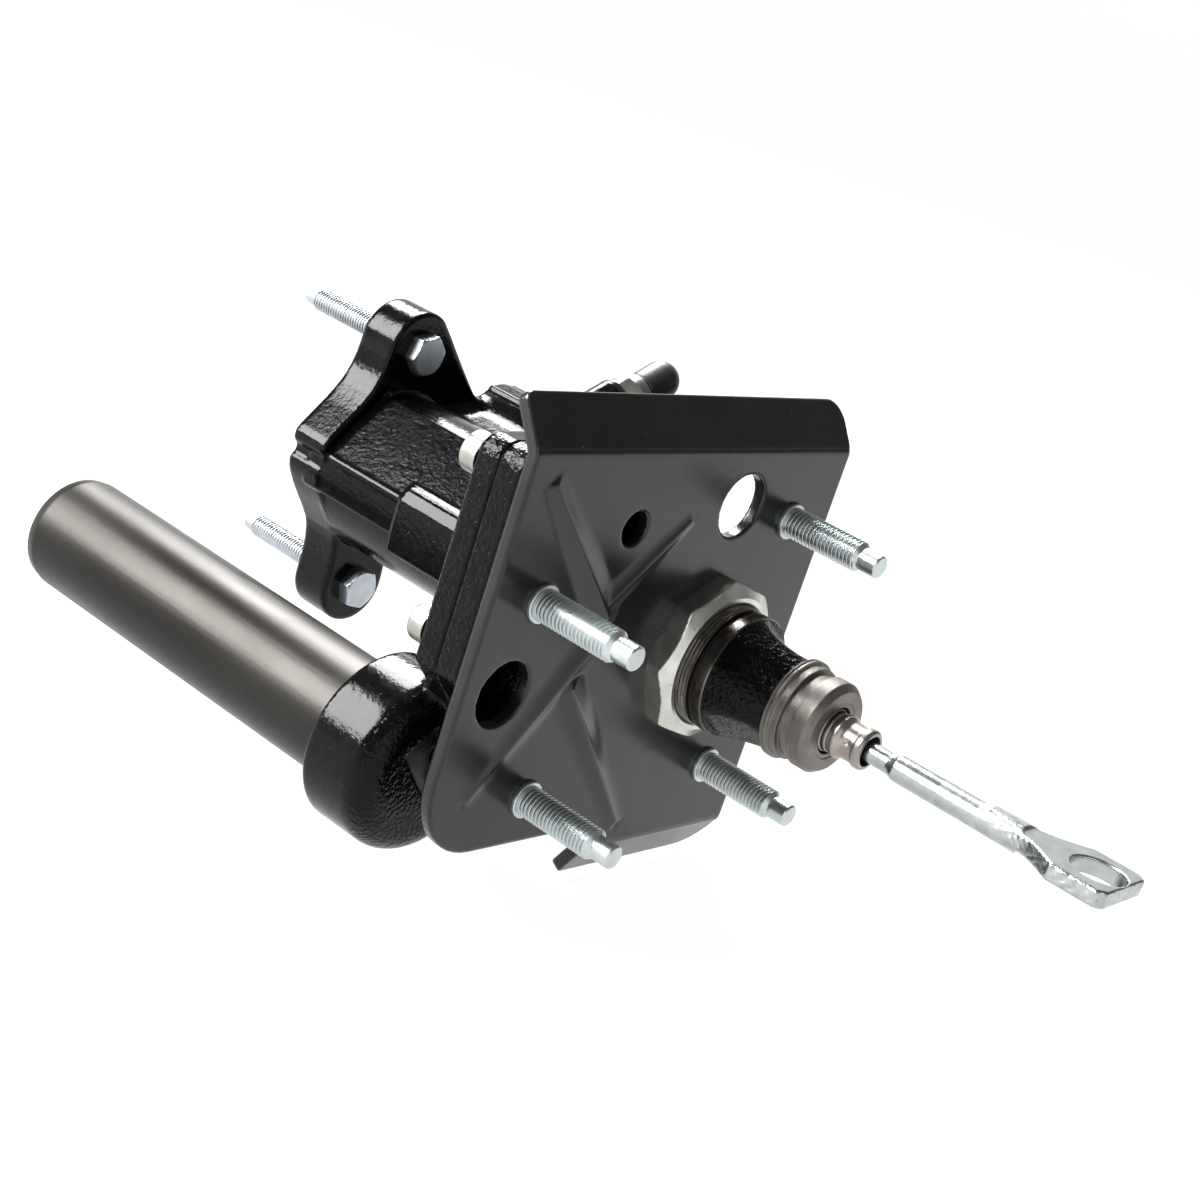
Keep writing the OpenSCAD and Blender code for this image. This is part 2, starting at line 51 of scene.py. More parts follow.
# ---------------------------------------------------------------- materials
def material(name, base, base2=None, metallic=0.0, rough=(0.3, 0.4), mottle=40.0, bumps=(), coat=0.0,
             coat_rough=0.1, aniso=0.0, streak=None, stretch=(1, 1, 1), spec=None, speck=None, rings=None,
             rough_scale=None, contrast=(0.35, 0.65)):
    """A node material: two tones mixed by noise, roughness from noise, and bump layers (kind, scale, height in metres, detail)."""
    m = bpy.data.materials.new(name)
    m.use_nodes = True
    nt = m.node_tree
    nt.nodes.clear()
    N, L = nt.nodes.new, nt.links.new
    out = N("ShaderNodeOutputMaterial")
    b = N("ShaderNodeBsdfPrincipled")
    L(b.outputs[0], out.inputs[0])
    b.inputs["Metallic"].default_value = metallic
    b.inputs["Coat Weight"].default_value = coat
    b.inputs["Coat Roughness"].default_value = coat_rough
    if aniso:
        b.inputs["Anisotropic"].default_value = aniso
    if spec is not None:
        b.inputs["Specular IOR Level"].default_value = spec
    tc = N("ShaderNodeTexCoord")
    mp = N("ShaderNodeMapping")
    mp.inputs["Scale"].default_value = stretch
    L(tc.outputs["Object"], mp.inputs[0])
    n = N("ShaderNodeTexNoise")
    n.inputs["Scale"].default_value = mottle
    n.inputs["Detail"].default_value = 6
    L(mp.outputs[0], n.inputs["Vector"])
    r = N("ShaderNodeMapRange")
    r.inputs[1].default_value, r.inputs[2].default_value = contrast
    L(n.outputs[0], r.inputs[0])
    mix = N("ShaderNodeMix")
    mix.data_type = "RGBA"
    mix.inputs[6].default_value = (*base, 1)
    mix.inputs[7].default_value = (*(base2 or tuple(c * 0.75 for c in base)), 1)
    L(r.outputs[0], mix.inputs[0])
    colour = mix.outputs[2]
    if streak:  # long streaks: scale vector, dark tone, share
        mp2 = N("ShaderNodeMapping")
        mp2.inputs["Scale"].default_value = streak[0]
        L(tc.outputs["Object"], mp2.inputs[0])
        s = N("ShaderNodeTexNoise")
        s.inputs["Scale"].default_value = 1.0
        s.inputs["Detail"].default_value = 5
        L(mp2.outputs[0], s.inputs["Vector"])
        sr = N("ShaderNodeMapRange")
        sr.inputs[1].default_value, sr.inputs[2].default_value = 0.4, 0.7
        sr.inputs[4].default_value = streak[2]
        L(s.outputs[0], sr.inputs[0])
        mx = N("ShaderNodeMix")
        mx.data_type = "RGBA"
        mx.inputs[7].default_value = (*streak[1], 1)
        L(sr.outputs[0], mx.inputs[0])
        L(colour, mx.inputs[6])
        colour = mx.outputs[2]
    if speck:  # small flecks: scale, threshold, tone
        v = N("ShaderNodeTexNoise")
        v.inputs["Scale"].default_value = speck[0]
        v.inputs["Detail"].default_value = 2
        L(tc.outputs["Object"], v.inputs["Vector"])
        vr = N("ShaderNodeMapRange")
        vr.inputs[1].default_value, vr.inputs[2].default_value = speck[1], speck[1] + 0.04
        L(v.outputs[0], vr.inputs[0])
        mx = N("ShaderNodeMix")
        mx.data_type = "RGBA"
        mx.inputs[7].default_value = (*speck[2], 1)
        L(vr.outputs[0], mx.inputs[0])
        L(colour, mx.inputs[6])
        colour = mx.outputs[2]
    L(colour, b.inputs["Base Color"])
    rn = N("ShaderNodeTexNoise")
    rn.inputs["Scale"].default_value = rough_scale or mottle * 1.7
    rn.inputs["Detail"].default_value = 4
    L(mp.outputs[0], rn.inputs["Vector"])
    rr = N("ShaderNodeMapRange")
    rr.inputs[1].default_value, rr.inputs[2].default_value = 0.3, 0.7
    rr.inputs[3].default_value, rr.inputs[4].default_value = rough
    L(rn.outputs[0], rr.inputs[0])
    L(rr.outputs[0], b.inputs["Roughness"])
    normal = None
    for kind, scale, height, detail in bumps:
        if kind == "voronoi":
            t = N("ShaderNodeTexVoronoi")
            t.feature = "SMOOTH_F1"
            t.inputs["Smoothness"].default_value = 0.6
            t.inputs["Scale"].default_value = scale
            L(tc.outputs["Object"], t.inputs["Vector"])
            h = t.outputs["Distance"]
        elif kind == "rings":  # fine turning marks along X
            mp3 = N("ShaderNodeMapping")
            mp3.inputs["Scale"].default_value = (scale, scale * 0.002, scale * 0.002)
            L(tc.outputs["Object"], mp3.inputs[0])
            t = N("ShaderNodeTexNoise")
            t.inputs["Scale"].default_value = 1.0
            t.inputs["Detail"].default_value = detail
            L(mp3.outputs[0], t.inputs["Vector"])
            h = t.outputs[0]
        elif kind == "long":  # drawing marks along X
            mp3 = N("ShaderNodeMapping")
            mp3.inputs["Scale"].default_value = (scale * 0.02, scale, scale)
            L(tc.outputs["Object"], mp3.inputs[0])
            t = N("ShaderNodeTexNoise")
            t.inputs["Scale"].default_value = 1.0
            t.inputs["Detail"].default_value = detail
            L(mp3.outputs[0], t.inputs["Vector"])
            h = t.outputs[0]
        else:
            t = N("ShaderNodeTexNoise")
            t.inputs["Scale"].default_value = scale
            t.inputs["Detail"].default_value = detail
            L(tc.outputs["Object"], t.inputs["Vector"])
            h = t.outputs[0]
        bp = N("ShaderNodeBump")
        bp.inputs["Strength"].default_value = 1.0
        bp.inputs["Distance"].default_value = height
        L(h, bp.inputs["Height"])
        if normal is not None:
            L(normal, bp.inputs["Normal"])
        normal = bp.outputs[0]
    if normal is not None:
        L(normal, b.inputs["Normal"])
        if coat:
            L(normal, b.inputs["Coat Normal"])
    return m


M = {}
M["cast"] = material("black_cast_paint", (0.0011, 0.0011, 0.0012), (0.0024, 0.0023, 0.0023), rough=(0.11, 0.19), mottle=300, spec=0.16,
                     bumps=(("noise", 620, 0.00008, 2), ("noise", 1700, 0.00002, 2), ("noise", 110, 0.00010, 1)),
                     speck=(820, 0.71, (0.032, 0.031, 0.030)))
M["cast_rough"] = material("black_cast_paint_grit", (0.0011, 0.0011, 0.0012), (0.0026, 0.0025, 0.0025), rough=(0.13, 0.22), mottle=300, spec=0.14,
                           bumps=(("noise", 820, 0.00030, 2), ("voronoi", 700, 0.00020, 0)),
                           speck=(1100, 0.71, (0.02, 0.02, 0.02)))
M["sheet"] = material("black_sheet_paint", (0.0075, 0.0066, 0.0063), (0.0115, 0.0104, 0.0098), rough=(0.19, 0.26), mottle=60,
                      bumps=(("noise", 60, 0.00010, 1), ("noise", 900, 0.000012, 2)), spec=0.44,
                      speck=(520, 0.745, (0.06, 0.056, 0.052)))
M["can"] = material("drawn_steel_can", (0.040, 0.038, 0.035), (0.030, 0.028, 0.026), metallic=1.0, rough=(0.34, 0.43), mottle=30,
                    bumps=(("long", 700, 0.00003, 3), ("noise", 300, 0.00003, 2)), stretch=(0.4, 1, 1),
                    streak=((4, 90, 90), (0.025, 0.024, 0.022), 0.45), aniso=0.3)
M["turned"] = material("turned_steel", (0.215, 0.20, 0.184), (0.165, 0.153, 0.14), metallic=1.0, rough=(0.42, 0.53), mottle=120,
                       bumps=(("rings", 3500, 0.00004, 4),), stretch=(3, 1, 1), aniso=0.4)
M["turned_dark"] = material("turned_steel_oily", (0.21, 0.19, 0.168), (0.09, 0.08, 0.07), metallic=1.0, rough=(0.2, 0.36), mottle=90,
                            bumps=(("rings", 3500, 0.00004, 4),), stretch=(3, 1, 1), aniso=0.3)
M["zinc"] = material("bright_zinc", (0.58, 0.625, 0.625), (0.49, 0.535, 0.535), metallic=0.9, rough=(0.27, 0.35), mottle=260,
                     bumps=(("noise", 900, 0.00001, 2),), speck=(700, 0.75, (0.45, 0.48, 0.48)))
M["zinc_forged"] = material("zinc_forging", (0.47, 0.50, 0.50), (0.36, 0.39, 0.39), metallic=1.0, rough=(0.24, 0.36), mottle=220,
                            bumps=(("noise", 380, 0.00011, 3), ("noise", 1500, 0.00002, 2)), speck=(600, 0.72, (0.4, 0.42, 0.42)))
M["zinc_rod"] = material("zinc_rod", (0.46, 0.49, 0.49), (0.37, 0.40, 0.40), metallic=1.0, rough=(0.2, 0.28), mottle=180,
                         bumps=(("noise", 500, 0.00003, 2),), speck=(700, 0.74, (0.3, 0.32, 0.32)))
M["zinc_green"] = material("grey_zinc_nut", (0.66, 0.68, 0.62), (0.54, 0.56, 0.51), metallic=1.0, rough=(0.28, 0.42), mottle=160,
                           bumps=(("noise", 700, 0.00005, 3),), speck=(500, 0.70, (0.24, 0.25, 0.22)))
M["zinc_blue"] = material("pale_zinc_bolt", (0.47, 0.50, 0.53), (0.39, 0.42, 0.45), metallic=0.9, rough=(0.30, 0.38), mottle=200,
                          bumps=(("noise", 800, 0.000015, 2),), speck=(600, 0.75, (0.40, 0.42, 0.45)))
M["pale_steel"] = material("pale_steel", (0.42, 0.41, 0.38), (0.34, 0.33, 0.30), metallic=1.0, rough=(0.28, 0.4), mottle=200,
                           bumps=(("noise", 800, 0.00003, 2),), speck=(700, 0.72, (0.3, 0.29, 0.27)))
M["socket"] = material("staked_steel", (0.39, 0.355, 0.325), (0.30, 0.275, 0.25), metallic=1.0, rough=(0.28, 0.4), mottle=160,
                       bumps=(("rings", 4500, 0.00003, 3), ("noise", 900, 0.00003, 2)), aniso=0.2)
M["ground"] = material("ground_steel", (0.56, 0.56, 0.55), (0.46, 0.46, 0.45), metallic=1.0, rough=(0.14, 0.24), mottle=200,
                       bumps=(("rings", 6000, 0.000012, 3),), aniso=0.3)
M["spring"] = material("dark_spring_steel", (0.16, 0.165, 0.175), (0.09, 0.09, 0.095), metallic=1.0, rough=(0.28, 0.42), mottle=300,
                       bumps=(("noise", 1200, 0.00003, 2),))
M["rubber"] = material("black_rubber", (0.012, 0.012, 0.0125), (0.02, 0.02, 0.0205), rough=(0.34, 0.46), mottle=200,
                       bumps=(("noise", 1400, 0.00003, 2), ("noise", 200, 0.00006, 1)))
M["bronze"] = material("machined_bronze", (0.58, 0.40, 0.17), (0.44, 0.29, 0.12), metallic=1.0, rough=(0.22, 0.36), mottle=150,
                       bumps=(("rings", 4000, 0.00003, 3),))
M["brass"] = material("machined_brass", (0.68, 0.50, 0.22), (0.55, 0.39, 0.16), metallic=1.0, rough=(0.2, 0.32), mottle=150,
                      bumps=(("noise", 1500, 0.00002, 3),))
M["aluminium"] = material("turned_aluminium", (0.70, 0.71, 0.72), (0.60, 0.61, 0.62), metallic=1.0, rough=(0.22, 0.34), mottle=150,
                          bumps=(("rings", 4000, 0.00003, 3),))
M["bare_iron"] = material("machined_iron", (0.30, 0.285, 0.27), (0.20, 0.19, 0.18), metallic=1.0, rough=(0.26, 0.42), mottle=140,
                          bumps=(("rings", 3000, 0.00003, 4), ("noise", 900, 0.00003, 2)))


# ---------------------------------------------------------------- mesh helpers (millimetres in, metres out)
def new_object(name, verts, faces, mats, index=None, sharp=35.0, body="casing", replaces=(), slot=None):
    me = bpy.data.meshes.new(name)
    me.from_pydata((np.asarray(verts, float) * 0.001).tolist(), [], faces if isinstance(faces, list) else faces.tolist())
    for m in mats:
        me.materials.append(M[m])
    if index is not None:
        me.polygons.foreach_set("material_index", np.asarray(index, np.int32))
    me.polygons.foreach_set("use_smooth", np.ones(len(me.polygons), bool))
    if sharp:
        me.set_sharp_from_angle(angle=math.radians(sharp))
    me.validate()
    me.update()
    ob = bpy.data.objects.new(name, me)
    scene.collection.objects.link(ob)
    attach(ob, body)
    if replaces:
        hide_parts(*replaces)
    return ob


def rounded(profile, e=0.25, n=3):
    """Rounds the corners of an (x, r) profile with small arcs."""
    p = [np.array(q[:2], float) for q in profile]
    res = [(*p[0], 0)]
    for i in range(1, len(p) - 1):
        ee = profile[i][2] if len(profile[i]) > 2 else e
        a, b, c = p[i - 1], p[i], p[i + 1]
        la, lc = np.linalg.norm(a - b), np.linalg.norm(c - b)
        t = min(ee, la * 0.45, lc * 0.45)
        if t < 1e-4:
            res.append((*b, 0))
            continue
        s, f = b + (a - b) / la * t, b + (c - b) / lc * t
        hold = min(0.15, 0.2 * la, 0.2 * lc)
        if t + hold < min(la, lc) * 0.5:
            res.append((*(s + (a - b) / la * hold), 0))
        for k in range(n + 1):
            u = k / n
            q = (1 - u) ** 2 * s + 2 * u * (1 - u) * b + u * u * f
            res.append((*q, 0))
        if t + hold < min(la, lc) * 0.5:
            res.append((*(f + (c - b) / lc * hold), 0))
    res.append((*p[-1], 0))
    return [(a, b) for a, b, _ in res]


def thread_h(t):
    """Height of a thread form, 0 at the root and 1 at the crest, over one pitch."""
    t = np.abs((t % 1.0) - 0.5) * 2
    h = np.clip((t - 0.10) / 0.76, 0, 1)
    return h * h * (3 - 2 * h)


def lathe(name, profile, mats, cy=0.0, cz=0.0, seg=96, e=0.25, threads=(), tone=None, close=False, shape=None,
          body="casing", replaces=(), slot=None, step=None, sharp=35.0, xform=None, build=True):
    """A turned piece along X. profile is [(x, r[, corner radius])]. threads is [(x0, x1, depth, pitch, runout)]. tone(x, r) gives a material index."""
    pr = rounded(profile, e)
    pts = []
    for (x0, r0), (x1, r1) in zip(pr[:-1], pr[1:]):
        pts.append((x0, r0))
        n = 1
        for t in threads:
            if abs(x1 - x0) > t[3] / 8 and min(x0, x1) < t[1] and max(x0, x1) > t[0]:
                n = max(n, int(abs(x1 - x0) / (t[3] / 12)))
        if step and math.hypot(x1 - x0, r1 - r0) > step:
            n = max(n, int(math.hypot(x1 - x0, r1 - r0) / step))
        for k in range(1, n):
            pts.append((x0 + (x1 - x0) * k / n, r0 + (r1 - r0) * k / n))
    pts.append(pr[-1])
    X = np.array([p[0] for p in pts])[:, None]
    R = np.array([p[1] for p in pts])[:, None]
    a = np.arange(seg)[None, :] * 2 * math.pi / seg
    r = R + 0 * a
    for x0, x1, depth, pitch, run in threads:
        w = np.clip((X - x0) / run, 0, 1) * np.clip((x1 - X) / run, 0, 1)
        w = np.clip(w, 0, 1) * ((X >= x0) & (X <= x1))
        r = r - w * depth * (1 - thread_h(X / pitch + a / (2 * math.pi)))
    if shape is not None:
        r = shape(X + 0 * a, a + 0 * X, r)
    V = np.stack([X + 0 * a, cy + r * np.cos(a), cz + r * np.sin(a)], -1)
    if xform is not None:
        V = V @ np.array(xform[0]).T + np.array(xform[1])
    n = len(pts)
    verts = V.reshape(-1, 3)
    i = np.arange(n - 1)[:, None] * seg
    j = np.arange(seg)[None, :]
    k = (j + 1) % seg
    q = np.stack([i + j, i + k, i + seg + k, i + seg + j], -1).reshape(-1, 4)
    idx = np.zeros(len(q), np.int32)
    if tone:
        mid = [(0.5 * (pts[m][0] + pts[m + 1][0]), 0.5 * (pts[m][1] + pts[m + 1][1])) for m in range(n - 1)]
        idx = np.repeat(np.array([tone(*m) for m in mid], np.int32), seg)
    faces = q.tolist()
    idx = idx.tolist()
    if not close:  # end caps where the profile starts and ends on the axis
        faces.append(list(range(seg)))
        faces.append(list(range((n - 1) * seg + seg - 1, (n - 1) * seg - 1, -1)))
        idx += [idx[0], idx[-1]]
    if not build:
        return verts, faces, idx
    return new_object(name, verts, faces, mats, idx, sharp, body, replaces, slot)


def join_data(parts):
    """Several (verts, faces, idx) as one."""
    vs, fs, ids, base = [], [], [], 0
    for v, f, i in parts:
        vs.append(v)
        fs += [[c + base for c in q] for q in f]
        ids += list(i)
        base += len(v)
    return np.vstack(vs), fs, ids


# ---------------------------------------------------------------- signed distances
def smin(a, b, k):
    h = np.clip(k - np.abs(a - b), 0, None) / k
    return np.minimum(a, b) - h * h * k * 0.25


def smax(a, b, k):
    return -smin(-a, -b, k)


def ext(d2, x, x0, x1, r=1.0, r2=None):
    """A 2D distance pushed from x0 to x1 with edges of radius r."""
    dx = np.abs(x - 0.5 * (x0 + x1)) - 0.5 * (x1 - x0)
    a, b = d2 + r, dx + r
    return np.minimum(np.maximum(a, b), 0) + np.sqrt(np.maximum(a, 0) ** 2 + np.maximum(b, 0) ** 2) - r


def circ(y, z, cy, cz, r):
    return np.sqrt((y - cy) ** 2 + (z - cz) ** 2) - r


def box2(y, z, y0, y1, z0, z1):
    a = np.abs(y - 0.5 * (y0 + y1)) - 0.5 * (y1 - y0)
    b = np.abs(z - 0.5 * (z0 + z1)) - 0.5 * (z1 - z0)
    return np.minimum(np.maximum(a, b), 0) + np.sqrt(np.maximum(a, 0) ** 2 + np.maximum(b, 0) ** 2)


def poly2(y, z, pts):
    """Signed distance to a closed 2D outline."""
    y, z = np.broadcast_arrays(y, z)
    d = np.full(y.shape, 1e9, np.float64)
    inside = np.zeros(y.shape, bool)
    n = len(pts)
    for i in range(n):
        ay, az = pts[i]
        by, bz = pts[(i + 1) % n]
        ey, ez = by - ay, bz - az
        wy, wz = y - ay, z - az
        t = np.clip((wy * ey + wz * ez) / (ey * ey + ez * ez + 1e-12), 0, 1)
        d = np.minimum(d, (wy - ey * t) ** 2 + (wz - ez * t) ** 2)
        c = (az > z) != (bz > z)
        if abs(ez) > 1e-12:
            inside ^= c & (y < ey * (z - az) / ez + ay)
    d = np.sqrt(d)
    return np.where(inside, -d, d)


def soften(pts, times=2):
    """Corner cutting, for cast outlines."""
    p = np.array(pts, float)
    for _ in range(times):
        q = np.roll(p, -1, 0)
        p = np.stack([0.78 * p + 0.22 * q, 0.22 * p + 0.78 * q], 1).reshape(-1, 2)
    return [tuple(v) for v in p]


def arc(cy, cz, r, a0, a1, n=8):
    return [(cy + r * math.cos(math.radians(a0 + (a1 - a0) * i / n)), cz + r * math.sin(math.radians(a0 + (a1 - a0) * i / n)))
            for i in range(n + 1)]


def net(name, f, lo, hi, h, mats, tone=None, passes=3, **kw):
    """Meshes the zero surface of f (surface nets), then pulls every vertex onto it."""
    n = [int(math.ceil((b - a) / h)) + 1 for a, b in zip(lo, hi)]
    ax = [lo[i] + h * np.arange(n[i]) for i in range(3)]
    F = np.broadcast_to(f(ax[0][:, None, None], ax[1][None, :, None], ax[2][None, None, :]), n).astype(np.float32)
    S = F < 0
    c = [(i, j, k) for i in (0, 1) for j in (0, 1) for k in (0, 1)]
    cell = [n[0] - 1, n[1] - 1, n[2] - 1]
    cnt = np.zeros(cell, np.int8)
    for i, j, k in c:
        cnt += S[i:cell[0] + i, j:cell[1] + j, k:cell[2] + k]
    mask = (cnt > 0) & (cnt < 8)
    ids = np.full(cell, -1, np.int64)
    pos = np.argwhere(mask)
    ids[mask] = np.arange(len(pos))
    vals = {q: F[pos[:, 0] + q[0], pos[:, 1] + q[1], pos[:, 2] + q[2]] for q in c}
    acc = np.zeros((len(pos), 3))
    m = np.zeros(len(pos))
    for a in c:
        for axis in range(3):
            if a[axis] == 0:
                b = tuple(a[t] + (t == axis) for t in range(3))
                va, vb = vals[a], vals[b]
                cross = (va < 0) != (vb < 0)
                t = np.where(cross, va / np.where(va == vb, 1, va - vb), 0)
                p = np.array(a, float)[None, :] + 0 * acc
                p[:, axis] += t
                acc += p * cross[:, None]
                m += cross
    V = np.array(lo)[None, :] + h * (pos + acc / m[:, None])
    quads = []
    for axis in range(3):
        u, v = [(1, 2), (2, 0), (0, 1)][axis]
        s0 = [slice(0, n[0]), slice(0, n[1]), slice(0, n[2])]
        s1 = list(s0)
        s0[axis] = slice(0, n[axis] - 1)
        s1[axis] = slice(1, n[axis])
        A, B = S[tuple(s0)], S[tuple(s1)]
        e = np.argwhere(A != B)
        e = e[(e[:, u] > 0) & (e[:, v] > 0) & (e[:, u] < n[u] - 1) & (e[:, v] < n[v] - 1)]
        flip = A[e[:, 0], e[:, 1], e[:, 2]]
        du, dv = np.zeros(3, int), np.zeros(3, int)
        du[u], dv[v] = 1, 1
        g = lambda p: ids[p[:, 0], p[:, 1], p[:, 2]]
        q = np.stack([g(e - du - dv), g(e - dv), g(e), g(e - du)], 1)
        q[~flip] = q[~flip][:, ::-1]
        quads.append(q)
    Q = np.vstack(quads)
    Q = Q[(Q >= 0).all(1)]
    E = np.vstack([Q[:, [0, 1]], Q[:, [1, 2]], Q[:, [2, 3]], Q[:, [3, 0]]])
    deg = np.bincount(E.ravel(), minlength=len(V)).astype(float)[:, None]
    for turn in range(passes):
        if turn:  # even out the mesh before each pull
            mean = np.stack([np.bincount(E[:, 0], V[E[:, 1], t], len(V)) + np.bincount(E[:, 1], V[E[:, 0], t], len(V)) for t in range(3)], 1) / deg
            V = V + (0.5 if turn == 1 else 0.3) * (mean - V)
        d = f(V[:, 0], V[:, 1], V[:, 2])
        g = np.zeros_like(V)
        for t in range(3):
            w = np.zeros(3)
            w[t] = 0.05
            g[:, t] = (f(V[:, 0] + w[0], V[:, 1] + w[1], V[:, 2] + w[2]) - f(V[:, 0] - w[0], V[:, 1] - w[1], V[:, 2] - w[2])) / 0.1
        l2 = np.maximum((g * g).sum(1), 0.2)
        V = V - g * (np.clip(d, -0.6 * h, 0.6 * h) / l2)[:, None]
    index = tone(V[Q].mean(1)) if tone else None
    ob = new_object(name, V, Q, mats, index, **kw)
    return ob


# ---------------------------------------------------------------- shared numbers (millimetres, as in the frame)
SP = (50.4, 18.5)
PHI = math.atan2(18.5, 50.4)
SPU = math.hypot(*SP)
AC = (-87.5, -39.5)
STUDS = [(-85.2, 22.2), (-63.7, -41.7), (24.3, 43.4), (25, -41.9)]
SCREWS = [(-98.8, 56), (-99, 5.4), (-30, 56), (36, -46), (-40, -46)]
NIP = (-28.0, -41.0, 69.1)
NA = math.radians(26.7)


def up_uv(y, z):
    return y * math.cos(PHI) + z * math.sin(PHI), -y * math.sin(PHI) + z * math.cos(PHI)


SLAB = (arc(-98.7, 58, 6.5, 180, 90, 6) + [(-25, 64.5), (-18, 64.5), (-17.5, 57), (-16.3, 39), (-16, 34), (-11, 31.9), (37, 13.9), (42, 12), (42, 7), (42, -47), (39.8, -51.8), (35, -54),
                                            (-24, -54), (-30, -54), (-35, -52.9), (-65.8, -45.9), (-70, -45), (-72.4, -41.7), (-85.8, -23.1), (-88, -20), (-90.8, -17.2), (-102, -6.2), (-105.2, -3), (-105.2, 2)])
FLANGE = (arc(0, 43, 13.8, 178, 52, 12) + [(28, 33.6), (43.5, 18.7), (46, 12), (41, -1), (27, -8), (23, -13), (14.5, -24), (12.8, -32), (13.6, -40)]
          + arc(0, -43, 13.8, -10, -170, 12) + [(-13.6, -40), (-13.6, -33), (-15.6, -24.4), (-20.2, -18.4), (-26.7, -10.7), (-30.8, -4.6), (-31.9, -0.4), (-29.9, 1.8), (-30.2, 4.2),
             (-32.4, 6.2), (-32.2, 9.8), (-26.9, 15.8), (-21.3, 22.2), (-17.0, 28.4), (-14.9, 34.0), (-14.0, 39.5)])
WEDGE = [(-101.4, -32.5), (-91.0, -23.4), (-86.9, -48.5), (-93.0, -41.8)]
SLAB_S = soften(SLAB, 1)
FLANGE_S = soften(FLANGE, 1)


def housing(x, y, z):
    slab_d = poly2(y, z, SLAB_S)
    fl = poly2(y, z, FLANGE_S)
    ry = np.sqrt(y * y + z * z)
    u, v = up_uv(y, z)
    panel = -0.732 * y + 0.683 * z - 26.4
    wedge = poly2(y, z, [(-4, 18), (-10, 28), (-31.5, 9), (-30.3, 4.2), (-30.3, -3), (-18, -12), (0, 0)])
    d = ext(np.maximum(np.minimum(ry - 28.2, wedge), panel), x, -143.5, -20, 0.7)
    flr = ext(fl, x, -158, -142.2, 1.3)
    d = smin(d, flr, 1.3)
    # side rails
    rail = ext(box2(y, z, -30.5, -18, -7.0, 6.2), x, -150, -104, 0.9)
    rail2 = ext(poly2(y, z, [(-31.4, -12), (-31.4, 5.4), (-29.6, 9.2), (-27.4, 10.4), (-14, 10.4), (-14, -12)]), x, -106, -14, 0.5)
    d = smin(d, rail, 1.0)
    d = smin(d, rail2, 1.0)
    # valve boss, its web and the port bosses
    crown = poly2(y, z, [(39.4, 22), (43.9, 31.2), (56.9, 31.2), (61.4, 22), (59.4, 10), (41.4, 10)])
    boss = ext(np.minimum(circ(y, z, *SP, 13.2), crown), x, -146, -54, 1.0)
    web = ext(poly2(u, v, [(15, -11), (SPU - 5, -11), (SPU - 5, 8.5), (15, 14.5)]), x, -144, -56, 2.0)
    boss = smin(boss, web, 5.0)
    for px in (-98, -124):
        rr = np.sqrt((x - px) ** 2 + v ** 2)
        boss = smin(boss, ext(rr - 11, u, SPU - 4, SPU + 24, 0.8), 4.0)
    d = smin(d, boss, 6.0)
    # slab
    d = smin(d, ext(slab_d, x, -21, 10, 1.6), 3.0)
    # accumulator cup and its neck
    ra = circ(y, z, *AC, 0)
    cup = ext(ra - 27.2, x, -41.5, -16.0, 1.6)
    core = ext(ra - 27.2, x, -60, -16.0, 8.5)
    cup = np.maximum(cup, core)
    neck = ext(box2(y, z, -80, -20, -38, -8), x, -27, -14.5, 3.0)
    cup = smin(cup, neck, 5.0)
    d = smin(d, cup, 5.0)
    # return boss
    ly, lz = y - NIP[1], z - NIP[2]
    la = ly * math.cos(NA) + lz * math.sin(NA)
    lb = -ly * math.sin(NA) + lz * math.cos(NA)
    rb = np.sqrt((x - NIP[0]) ** 2 + lb ** 2)
    barrel = smax(ext(rb - 8.4, la, -26, 0, 0.6), 0.35 * (x - NIP[0]) + 0.937 * lb - 6.9, 0.8)
    d = smin(d, barrel, 4.0)
    # land round the check valve, between the cup and the seam
    d = smin(d, ext(circ(y, z, -76, -33, 7.6), x, -22, 0, 0.8), 2.0)
    # small machined flat on the back of the cup
    flat = ext(poly2(y, z, WEDGE), x, -17.2, -10, 0.2)
    d = np.maximum(d, -flat)
    # bores
    d = np.maximum(d, x + 12.5)
    d = np.maximum(d, -(ry - 19.0))
    d = np.maximum(d, -np.maximum(ry - 20.5, x + 138))
    d = np.maximum(d, -np.maximum(ry - 21.7, np.abs(x + 140.9) - 0.9))
    rs = circ(y, z, *SP, 0)
    d = np.maximum(d, -np.maximum(rs - 9.5, x + 60.5))
    d = np.maximum(d, -np.maximum(rs - 10.5, np.abs(x + 143.75) - 0.75))
    d = np.maximum(d, -np.maximum(ra - 19.05, np.abs(x + 42) - 18))
    for px in (-98, -124):
        rr = np.sqrt((x - px) ** 2 + v ** 2)
        d = np.maximum(d, -np.maximum(rr - 8.0, np.abs(u - SPU - 19.5) - 5.5))
        d = np.maximum(d, -np.maximum(rr - 6.8, np.abs(u - SPU - 14) - 4.5))
        d = np.maximum(d, -np.maximum(rr - 2.6, np.abs(u - SPU - 5) - 6))
    for s in (-1, 1):
        d = np.maximum(d, -np.maximum(circ(y, z, 0, s * 43, 4.0), x + 141))
    for p in SCREWS:
        d = np.maximum(d, -np.maximum(circ(y, z, *p, 6.5), np.abs(x + 25.5) - 4.5))
        d = np.maximum(d, -(circ(y, z, *p, 3.3) + 0 * x))
    d = np.maximum(d, -np.maximum(rb - 3.4, np.abs(la + 5) - 6))
    return d


